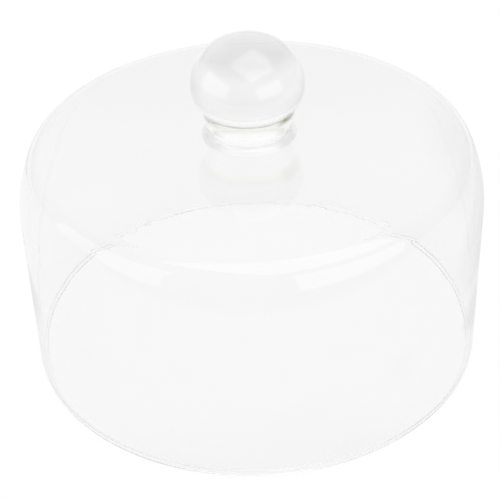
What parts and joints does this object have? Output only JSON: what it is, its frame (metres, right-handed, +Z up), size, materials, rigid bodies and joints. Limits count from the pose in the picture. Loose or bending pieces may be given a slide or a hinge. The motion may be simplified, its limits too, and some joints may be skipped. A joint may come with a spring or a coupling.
{
  "type": "cake dome",
  "caption": "Clear glass cake dome with an upright wall, rounded shoulder and nearly flat crown, lifted by a solid glass ball knob on a short neck.",
  "frame": {"origin": "centre of the rim, on the surface that the dome stands on", "axes": "+Z up along the dome's axis, from the rim to the knob; the dome is round, so +X and +Y are free"},
  "size_m": [0.26, 0.26, 0.1917],
  "materials": {
    "shell_glass": "clear blown glass, fire-polished, with faint ripples",
    "knob_glass": "clear solid glass, fire-polished, slightly green where it is thick"
  },
  "bodies": {
    "root": {"dome_shell": "shell_glass", "knob_neck": "knob_glass", "knob_ball": "knob_glass"}
  },
  "joints": []
}
